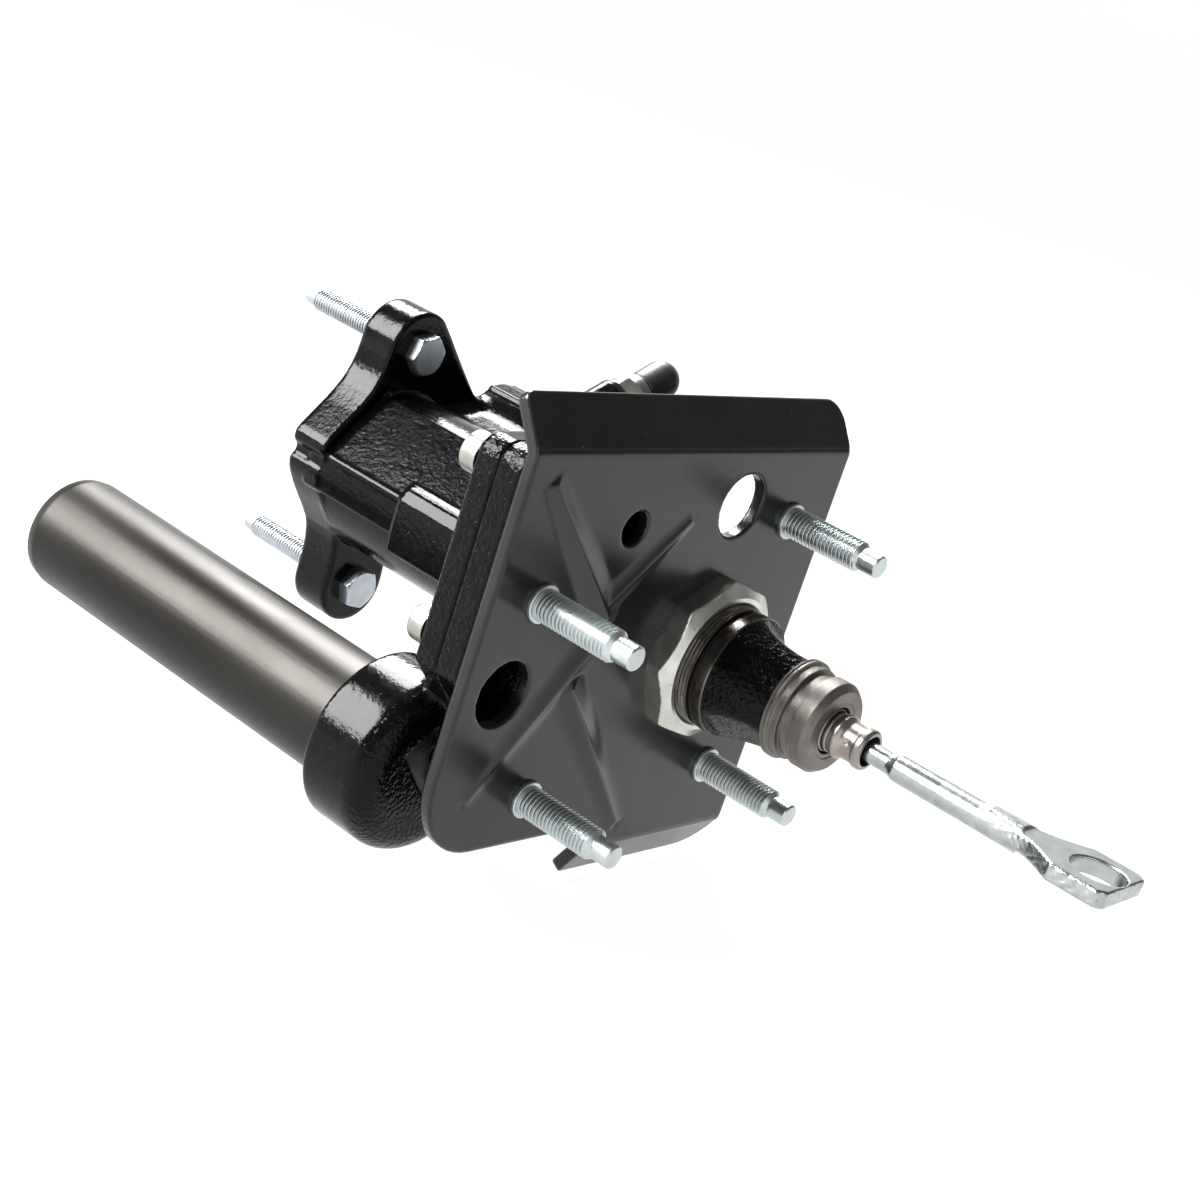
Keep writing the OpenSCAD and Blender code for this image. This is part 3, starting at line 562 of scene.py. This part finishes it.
def housing_tone(p):
    x, y, z = p[:, 0], p[:, 1], p[:, 2]
    t = np.zeros(len(p), np.int32)
    ry, ra, rs = np.hypot(y, z), np.hypot(y - AC[0], z - AC[1]), np.hypot(y - SP[0], z - SP[1])
    u, v = up_uv(y, z)
    t[(np.abs(y + 105.2) < 6) & (x > -21.5)] = 2
    t[(x > -22) & (z < 50) & (t == 0)] = 2
    t[(x > -74) & (ry < 42) & (t == 0)] = 2
    t[(ry < 22) & (x > -157.3)] = 1
    t[(rs < 10.8) & (x > -145.3)] = 1
    t[(ra < 19.6) & (x < -23.4)] = 1
    t[(poly2(y, z, WEDGE) < 0.2) & (np.abs(x + 17.2) < 0.1)] = 1
    for px in (-98, -124):
        t[(np.hypot(x - px, v) < 8.4) & (u > SPU)] = 1
        t[(np.hypot(x - px, v) < 11.5) & (u > SPU + 23.8)] = 1
    for s in (-1, 1):
        t[(np.hypot(y, z - s * 43) < 4.4) & (x > -157.3) & (x < -142.8)] = 1
    t[(x > -12.52)] = 1
    t[(x > -12.6) & (np.hypot(y + 88.9, z + 5.7) < 12)] = 2
    return t


H = 1.0
net("main_housing_casting", housing, (-160, -117, -69), (-10.5, 81, 76), H, ["cast", "bare_iron", "cast_rough"], housing_tone,
    body="casing", replaces=["main_housing"], slot="main_housing", sharp=None)


# rear cover: the slab half that the bracket bolts to
def cover(x, y, z):
    d = ext(poly2(y, z, SLAB_S), x, -40, -4.1, 0.9)
    d = np.maximum(d, -12.5 - x)
    d = np.maximum(d, -(np.sqrt(y * y + z * z) - 11.0) + 0 * x)
    for p in STUDS:
        d = np.maximum(d, -np.maximum(circ(y, z, *p, 7.4), -7.2 - x))
    d = np.maximum(d, -circ(y, z, -88.9, -5.7, 11) + 0 * x)
    # rough recess seen through the small bracket hole
    d = np.maximum(d, -np.maximum(circ(y, z, -53.4, 42.9, 7.5), -9 - x))
    for p in SCREWS:
        d = np.maximum(d, -np.maximum(circ(y, z, *p, 3.0), x + 6.5))
    return d


net("rear_cover_casting", cover, (-14, -108, -58), (-2.5, 46, 68), 0.8, ["cast_rough", "bare_iron"],
    lambda p: ((p[:, 0] < -12.48) | (np.hypot(p[:, 1], p[:, 2]) < 11.4)).astype(np.int32),
    body="casing", replaces=["rear_cover"], slot="rear_cover", sharp=None)


def scallop(X, A, r):
    """The relieved flats on the cast taper."""
    for ang, depth, xm, w in ((57, 2.6, 28.0, 9.5), (237, 1.2, 29.0, 9.0)):
        a = (A - math.radians(ang) + math.pi) % (2 * math.pi) - math.pi
        fall = np.clip(1 - ((X - xm) / w) ** 2, 0, 1) ** 0.6
        flat = (17.6 - 0.19 * (X - 18) - depth * fall) / np.maximum(np.cos(a), 0.15)
        use = (np.abs(a) < 1.2) & (X > 18.2) & (X < 37.2)
        r = np.where(use, smin(r, np.where(use, flat, 99), 0.8), r)
    return r


NOSE = [(-12.5, 11.2, 0), (-12.5, 15, 0), (-4.1, 15, 0), (-4.1, 19.8, 0), (12.1, 19.8, 0.2), (12.1, 17.6), (13.9, 17.6), (13.9, 19.75, 0.3),
        (17.6, 19.75, 0.3), (18.2, 19.35, 0.3), (37.3, 15.35, 0.5), (37.5, 15.9, 0.2), (38.1, 16.0, 0.2), (38.4, 15.6, 0.1), (38.7, 16.0, 0.1), (39.7, 16.0, 0.3), (40.0, 15.0, 0.3),
        (42.5, 14.85, 0.2), (42.6, 13.4, 0.3), (46.4, 13.25, 0.3), (46.6, 14.6, 0.25), (51.3, 14.6, 0.25), (53.5, 12.9, 0.3), (53.5, 9.2, 0.15),
        (53.2, 8.9, 0.1), (53.2, 7.6, 0.3), (13.0, 7.6, 0), (13.0, 11.0, 0), (-12.5, 11.0, 0)]


def nose_tone(x, r):
    if r < 12.2 and x < 53:
        return 0
    if -5 < x < 12.2:
        return 2
    if 12.2 <= x < 18.0:
        return 2
    if 18.0 <= x < 37.4 and r > 12:
        return 1
    return 0


lathe("rear_cover_nose", NOSE, ["turned", "cast_rough", "turned_dark"], seg=160, e=0.2, threads=((0.5, 12.0, 0.5, 1.25, 0.4),), tone=nose_tone,
      close=True, shape=scallop, body="casing", slot="rear_cover", step=1.0, sharp=24)

# ---------------------------------------------------------------- mounting bracket
T = 4.1
RB = 6.6
TT, TB = math.radians(36), math.radians(29)
ZT, ZB = 66.8 - RB * math.tan(TT / 2), -64.7 + RB * math.tan(TB / 2)
S_TOP = ZT + RB * TT + 16.5 - RB * math.tan(TT / 2)
S_BOT = ZB - RB * TB - 14.7 + RB * math.tan(TB / 2)
YL, YR = -106.1, 46.3
OUT = ([(YL, S_TOP - 2.5)] + arc(YL + 2.5, S_TOP - 2.5, 2.5, 180, 90, 4) + arc(YR - 8, S_TOP - 8, 8, 90, 0, 8) + arc(YR - 11, S_BOT + 11, 11, 0, -90, 8)
       + [(-22, S_BOT)] + arc(-23, S_BOT + 2, 2, -90, -180, 3) + [(-25, -59.5)] + arc(-27.7, -59.5, 2.7, 0, 90, 4)
       + arc(YL + 24.5, -32.3, 24.5, 270, 180, 12))
RIBS = [((-55.5, 17.0), (-95.5, 57.5), 7.2, 5.0, 3.0, 1.5), ((-56.5, 19.5), (-28.2, 44.6), 6.2, 3.2, 2.4, 1.2),
        ((-57.5, 6.0), (-90.5, -38.6), 7.0, 4.6, 2.6, 0.9), ((-61.0, -6.0), (-14.2, -57.0), 7.4, 4.2, 2.8, 1.1)]


def rib_height(y, z):
    y, z = np.broadcast_arrays(y, z)
    h = np.zeros(y.shape)
    for a, b, w0, w1, h0, h1 in RIBS:
        a, b = np.array(a), np.array(b)
        dv = b - a
        ln = np.hypot(*dv)
        dv = dv / ln
        t = ((y - a[0]) * dv[0] + (z - a[1]) * dv[1]) / ln
        s = -(y - a[0]) * dv[1] + (z - a[1]) * dv[0]
        tc = np.clip(t, 0, 1)
        w, hh = w0 + (w1 - w0) * tc, h0 + (h1 - h0) * tc
        over = np.maximum(t - 1, 0) * ln
        under = np.maximum(-t, 0) * ln
        q = np.sqrt((s / w) ** 2 + (over / 2.2) ** 2 + (under / w0) ** 2 + 0.008) - 0.09
        ridge = np.clip(1 - q, 0, 1)
        ridge = ridge * (0.55 + 0.45 * ridge)
        h = smax(h, hh * ridge * 0.92, 0.5) if h.any() else hh * ridge * 0.92
        # dimple at the rib's far end
        h = h - 0.35 * np.exp(-(((t - 1) * ln - 1.6) ** 2 + s ** 2) / 1.6)
    return h


def sheet_coords(x, z):
    """Distance out of the bent sheet's rear face, and length along it."""
    x, z = np.broadcast_arrays(x, z)
    d, s = x.astype(float).copy(), z.astype(float).copy()
    for zc, th, sg in ((ZT, TT, 1), (ZB, TB, -1)):
        dx, dz = x + RB, (z - zc) * sg
        ang = np.arctan2(dz, dx)
        m = (dz > 0) & (ang <= th)
        r = np.hypot(dx, dz)
        d = np.where(m, r - RB, d)
        s = np.where(m, zc + sg * RB * ang, s)
        m2 = (dz > 0) & (ang > th)
        d = np.where(m2, dx * math.cos(th) + dz * math.sin(th) - RB, d)
        s = np.where(m2, zc + sg * (RB * th + (-dx * math.sin(th) + dz * math.cos(th))), s)
    return d, s


def bracket(x, y, z):
    d, s = sheet_coords(x, z)
    hgt = rib_height(y, z)
    w = 0.035 * np.sin(y * 0.051 + 0.4) * np.sin(z * 0.067 + 1.0)
    t = d - hgt * (np.abs(s) < 66) - w
    d2 = poly2(y, s, OUT)
    r = 0.75
    dt = np.abs(t + T / 2) - T / 2
    a, b = d2 + r, dt + r
    f = np.minimum(np.maximum(a, b), 0) + np.sqrt(np.maximum(a, 0) ** 2 + np.maximum(b, 0) ** 2) - r
    for cy, cz, rr, k in ((0, 0, 19.9, 0.4), (-4.1, 48.7, 10.2, 0.6), (-88.9, -5.7, 10.1, 0.6), (-53.4, 42.9, 5.3, 0.6)):
        f = smax(f, -circ(y, z, cy, cz, rr) + 0 * x, k)
    for p in STUDS:
        f = np.maximum(f, -circ(y, z, *p, 4.97) + 0 * x)
    return f


# the outline is evaluated in (y, s), s being the length along the bent sheet
net("mounting_bracket_sheet", bracket, (-16.5, -107.5, -80), (4.0, 47.5, 82), 0.7, ["sheet"],
    body="casing", replaces=["mounting_bracket"], slot="mounting_bracket", sharp=None)

# ---------------------------------------------------------------- studs, nut, screws, bolts
parts = []
for i, (cy, cz) in enumerate(STUDS):
    parts.append(lathe("s", [(-6.5, 0.01, 0), (-6.5, 6.7, 0.3), (-4.1, 6.7, 0.1), (-4.1, 4.9, 0), (0.05, 4.9, 0), (0.05, 5.95, 0.35), (1.7, 5.95, 0.5), (1.75, 4.75, 0.2),
                             (2.6, 4.9, 0.1), (28.0, 4.92, 0.15), (29.0, 3.75, 0.3), (29.3, 3.55, 0.2), (30.0, 3.68, 0.2), (35.35, 3.66, 0.1), (35.85, 3.2, 0.15), (35.87, 0.01, 0)],
                       ["zinc"], cy, cz, seg=96, e=0.15, threads=((2.2, 28.4, 0.86, 1.42, 0.7),), build=False, step=None))
v, f, ix = join_data(parts)
new_object("mounting_studs_threaded", v, f, ["zinc"], ix, 62, "casing", ["mounting_studs"], "mounting_studs")


def octagon(X, A, r):
    a = (A - math.radians(27) + math.pi / 8) % (math.pi / 4) - math.pi / 8
    oct_r = 24.65 / np.cos(a)
    cone = np.where(X > 5.4, 27.0 - (X - 5.4) * 1.42, np.where(X < 0.9, 26.2 + X, 27.0))
    out = smin(smin(oct_r, np.full_like(r, 26.45), 0.35), cone, 0.35)
    return np.where(r > 21, np.minimum(out, r), r)


lathe("bracket_nut_octagon", [(0.02, 20.0, 0), (0.02, 27.0, 0), (8.8, 27.0, 0), (8.8, 20.7, 0.2), (8.1, 19.95, 0.1), (0.02, 19.95, 0)],
      ["zinc_green"], seg=256, e=0.0, step=0.35, close=True, shape=octagon, body="casing", replaces=["bracket_nut"], slot="bracket_nut", sharp=28)


def hexagon(af, x_top, ang, slope=1.5, corner=None):
    def shape(X, A, r):
        a = (A - math.radians(ang) + math.pi / 6) % (math.pi / 3) - math.pi / 6
        hr = af / 2 / np.cos(a)
        cone = af / 2 * 0.99 + (x_top - X) * slope
        out = smin(smin(hr, np.full_like(r, corner or af * 0.574), 0.15), cone, 0.2)
        return np.where(r > af * 0.44, np.minimum(out, r), r)
    return shape


parts = []
for s in (-1, 1):
    parts.append(lathe("b", [(-142.2, 0.01, 0), (-142.2, 7.6, 0), (-137.7, 7.6, 0), (-137.7, 0.01, 0)], ["zinc_blue"], 0, s * 43, seg=144, e=0,
                       step=0.3, shape=hexagon(13, -137.7, 30 + s * 12, 1.7), build=False))
    parts.append(lathe("b", [(-198.4, 0.01, 0), (-198.4, 2.9, 0.3), (-194.6, 3.1, 0.1), (-194.0, 3.0, 0.1), (-193.0, 3.9, 0.15), (-158.5, 3.93, 0.1), (-158.2, 3.93, 0.1), (-142.1, 3.93, 0), (-142.1, 0.01, 0)],
                       ["zinc_blue"], 0, s * 43, seg=96, e=0.15, threads=((-193.6, -160.0, 0.42, 1.25, 0.7),), build=False))
v, f, ix = join_data(parts)
new_object("master_cylinder_bolts_hex", v, f, ["zinc_blue"], ix, 32, "casing", ["master_cylinder_bolts"], "master_cylinder_bolts")

parts = []
for cy, cz in SCREWS:
    parts.append(lathe("c", [(-25.2, 0.01, 0), (-25.2, 2.9, 0.1), (-27.25, 3.1, 0.1), (-27.5, 3.4, 0.15), (-27.5, 4.9, 0.5), (-26.6, 6.05, 0.6), (-21.1, 6.1, 0.2), (-21.05, 2.95, 0), (-7.2, 2.95, 0.2), (-7.2, 0.01, 0)],
                       ["pale_steel"], cy, cz, seg=64, e=0.2, build=False,
                       shape=lambda X, A, r: np.where((r < 3.3) & (X < -24) & (r > 1), np.minimum(r, 2.75 / np.cos((A + math.pi / 6) % (math.pi / 3) - math.pi / 6)), r)))
v, f, ix = join_data(parts)
new_object("cover_screws_socket_head", v, f, ["pale_steel"], ix, 35, "casing", ["cover_screws"], "cover_screws")

# ---------------------------------------------------------------- accumulator can
lathe("accumulator_can_drawn", [(-190, 0.01, 0), (-190, 19, 6.5), (-26.6, 19, 0.5), (-26.05, 18.4, 0.2), (-26.05, 17.2, 0.2), (-187.4, 17.0, 0), (-187.4, 0.01, 0)],
      ["can"], *AC, seg=160, e=0.3, body="casing", replaces=["accumulator_can"], slot="accumulator_can", step=6.0)

# ---------------------------------------------------------------- rod socket, pedal rod, small pieces of the nose
lathe("nose_ring_rubber", [(12.15, 17.65, 0), (12.15, 18.6, 0.4), (13.85, 18.6, 0.4), (13.85, 17.65, 0), (12.15, 17.65, 0)], ["rubber"], seg=128,
      e=0.2, close=True, body="casing", replaces=["nose_ring"], slot="nose_ring")


def crimps(X, A, r):
    k = np.clip(np.cos(A * 4 + 0.6), 0, 1) ** 6 * np.exp(-((X - 61.3) / 1.0) ** 2)
    return np.where(r > 5.2, r - 0.5 * k, r)


lathe("rod_socket_staked", [(40.0, 0.01, 0), (40.0, 3.98, 0), (50.0, 3.98, 0), (50.0, 6.9, 0.3), (52.6, 7.0, 0.2), (52.9, 6.5, 0.15), (54.2, 6.5, 0.15), (54.6, 6.2, 0.1), (56.0, 6.2, 0.15), (56.2, 6.9, 0.3), (57.4, 6.95, 0.3),
                            (59.0, 5.85, 0.5), (63.4, 5.85, 0.3), (63.8, 6.45, 0.3), (65.7, 6.45, 0.45), (66.4, 5.8, 0.3), (66.45, 4.85, 0.2), (65.6, 4.72, 0.1), (61.6, 4.72, 0), (60.0, 4.99, 0), (56.6, 3.6, 0), (55.1, 0.01, 0)],
      ["socket"], seg=112, e=0.15, shape=crimps, step=0.6, body="piston", replaces=["rod_socket"], slot="rod_socket")


def rod(x, y, z):
    rr = np.sqrt(y * y + z * z)
    ball = np.sqrt((x - 60) ** 2 + rr ** 2) - 3.8
    d = np.minimum(ball, ext(rr - 2.9, x, 60, 66, 0.2))
    d = np.minimum(d, ext(rr - 3.2, x, 65.5, 75.5, 0.3))
    r2 = np.interp(x, [74.4, 76.6, 119.0], [3.15, 4.15, 4.2])
    d = smin(d, np.maximum(rr - r2, np.maximum(74.4 - x, x - 119)), 0.6)
    outline = [(108, -2.6), (114, -3.9), (118, -4.5), (124, -6.6), (129, -9.4), (134.5, -13.5), (149.6, -13.5), (151.9, -11.2), (151.9, 11.2), (149.6, 13.5), (135, 13.5), (128, 8), (121.5, 4.8), (114, 3.8), (108, 2.6)]
    p2 = poly2(x, y, outline)
    forged = 0.10 * (np.sin(x * 1.9 + 1.3 * np.sin(y * 1.1 + z)) * np.sin(z * 2.3 + x * 0.7)) * np.clip((x - 88) / 20, 0, 1)
    h = 2.65
    a, b = p2 + 0.9, np.abs(z - 1.0) - h + 0.9
    eye = np.minimum(np.maximum(a, b), 0) + np.sqrt(np.maximum(a, 0) ** 2 + np.maximum(b, 0) ** 2) - 0.9
    rugged = 0.11 * np.sin(x * 2.3 + 2.0 * np.sin(z * 2.4 + 0.9 * x)) * np.sin(z * 3.6 + x * 1.3 + y) * np.clip((x - 127) / 6, 0, 1)
    eye = eye + (forged + rugged) * (np.abs(z - 1.0) < 2.2)
    d = smin(d, eye, 3.2)
    hole = np.sqrt((x - 142.9) ** 2 + y * y) - 8.3
    return smax(d, -hole + 0 * z, 0.5)


net("pedal_rod_forged", rod, (55.5, -15, -5.5), (153, 15, 5.6), 0.42, ["zinc_rod", "zinc_forged"],
    lambda p: ((p[:, 0] > 92) & ((p[:, 2] < 2.9) | (p[:, 0] < 120)) & (np.hypot(p[:, 0] - 142.9, p[:, 1]) > 8.9)).astype(np.int32),
    body="rod", replaces=["pedal_rod"], slot="pedal_rod", sharp=None)

# ---------------------------------------------------------------- return nipple and its cap
ca, sa = math.cos(NA), math.sin(NA)
# local x runs along the nipple
NX = ([[0, 1, 0], [ca, 0, -sa], [sa, 0, ca]], NIP)
parts = [lathe("n", [(0.0, 3.3, 0), (0.0, 8.2, 0), (5.0, 8.2, 0), (5.0, 3.3, 0)], ["pale_steel"], seg=144, e=0, step=0.4, close=True,
               shape=hexagon(14.2, 5.0, 0, 1.7, 7.9), xform=NX, build=False),
         lathe("n", [(-8, 0.01, 0), (-8, 3.35, 0.2), (-0.01, 3.35, 0), (-0.01, 3.5, 0), (5.0, 3.5, 0), (5.0, 6.55, 0.3), (8.4, 6.55, 0.35), (8.4, 4.0, 0.3), (14, 3.95, 0.1), (14, 4.65, 0.2), (16.4, 4.0, 0.1), (18, 3.95, 0.1), (18, 4.65, 0.2), (20.3, 4.0, 0.2), (20.4, 1.7, 0.2), (-7.9, 1.7, 0), (-7.9, 0.01, 0)],
               ["pale_steel"], seg=64, e=0.2, xform=NX, build=False)]
v, f, ix = join_data(parts)
new_object("return_nipple_hex", v, f, ["pale_steel"], ix, 32, "casing", ["return_nipple"], "return_nipple")
dome = [(18 + 5.88 * math.sin(t), 5.88 * math.cos(t), 0) for t in np.linspace(0.02, math.pi / 2 - 0.002, 12)]
lathe("nipple_cap_rubber", [(20.5, 0.01, 0), (20.5, 4.7, 0), (13.9, 4.7, 0), (13.9, 4.05, 0), (9.45, 4.05, 0), (9.4, 5.5, 0.35), (9.9, 5.88, 0.3), (13.5, 5.85, 0.3), (18, 5.88, 0)] + dome,
      ["rubber"], seg=96, e=0.3, xform=NX, body="casing", replaces=["nipple_cap"], slot="nipple_cap")

# ---------------------------------------------------------------- finishes of the pieces that keep their CAD mesh
KEEP = {"cover_seal": "rubber", "rod_guide_bush": "bronze", "input_seal": "rubber", "bush_retaining_ring": "spring", "power_piston": "ground",
        "piston_seal": "rubber", "lever_drive_pin": "ground", "rod_grommet": "rubber", "output_rod": "zinc", "output_rod_retainer": "spring",
        "piston_return_spring": "spring", "spring_seat": "pale_steel", "spring_seat_ring": "spring", "valve_sleeve": "ground", "spool_valve": "ground",
        "spool_spring": "spring", "spool_plug": "turned", "plug_o_ring": "rubber", "plug_retaining_ring": "spring", "valve_lever": "pale_steel",
        "lever_pivot_pin": "ground", "port_tube_seats": "brass", "accumulator_piston": "aluminium", "accumulator_piston_seal": "rubber",
        "accumulator_o_ring": "rubber", "accumulator_retaining_ring": "spring", "check_valve_seat": "brass", "check_ball": "ground", "check_spring": "spring"}
for n, m in KEEP.items():
    me = NODES[n].data
    me.materials.clear()
    me.materials.append(M[m])

# ---------------------------------------------------------------- stage: pale floor, soft studio light
FLOOR = -0.0795
ring = 96
verts, faces = [(0, 0, FLOOR)], []
prof = [(0.5, 0), (1.5, 0), (3.5, 0), (6.0, 0), (7.5, 0.08), (8.4, 0.35), (8.9, 0.8), (9.1, 1.5)]
for r, h in prof:
    verts += [(r * math.cos(2 * math.pi * i / ring), r * math.sin(2 * math.pi * i / ring), FLOOR + h) for i in range(ring)]
faces += [(0, 1 + i, 1 + (i + 1) % ring) for i in range(ring)]
for k in range(len(prof) - 1):
    o = 1 + k * ring
    faces += [(o + i, o + ring + i, o + ring + (i + 1) % ring, o + (i + 1) % ring) for i in range(ring)]
me = bpy.data.meshes.new("floor")
me.from_pydata(verts, [], faces)
me.polygons.foreach_set("use_smooth", [True] * len(me.polygons))
floor = bpy.data.objects.new("floor", me)
scene.collection.objects.link(floor)
fm = bpy.data.materials.new("pale_floor")
fm.use_nodes = True
b = fm.node_tree.nodes["Principled BSDF"]
b.inputs["Base Color"].default_value = (0.12, 0.12, 0.12, 1)
b.inputs["Roughness"].default_value = 1.0
b.inputs["Specular IOR Level"].default_value = 0.0
b.inputs["Emission Color"].default_value = (1, 1, 1, 1)
b.inputs["Emission Strength"].default_value = 0.96
me.materials.append(fm)

world = bpy.data.worlds.new("studio")
scene.world = world
world.use_nodes = True
bg = world.node_tree.nodes["Background"]
bg.inputs[0].default_value = (1, 1, 1, 1)
bg.inputs[1].default_value = 0.16


def area(name, direction, distance, size, radiance, target=(-0.03, -0.02, 0.0), size_y=None):
    """A rectangle light of an even radiance, seen from target in a direction."""
    d = Vector(direction).normalized()
    l = bpy.data.lights.new(name, "AREA")
    l.shape = "RECTANGLE"
    l.size, l.size_y = size, size_y or size
    l.energy = radiance * math.pi * l.size * l.size_y
    o = bpy.data.objects.new(name, l)
    scene.collection.objects.link(o)
    o.location = Vector(target) + d * distance
    o.rotation_euler = (-d).to_track_quat("-Z", "Y").to_euler()
    return o


area("top_key", (-0.59, 0.37, 0.72), 1.5, 0.72, 34)
area("left_key", (-0.56, -0.67, 0.47), 1.5, 0.90, 30)
area("back_panel", (-0.62, 0.72, 0.32), 2.2, 1.3, 0.75, size_y=0.9)
area("eye_panel", (-0.34, 0.88, 0.32), 2.2, 1.5, 0.85, target=(0.12, 0.0, 0.0), size_y=1.2)
area("front_fill", (0.80, -0.50, 0.33), 2.0, 1.0, 1.4)
scene.view_settings.view_transform = "Standard"
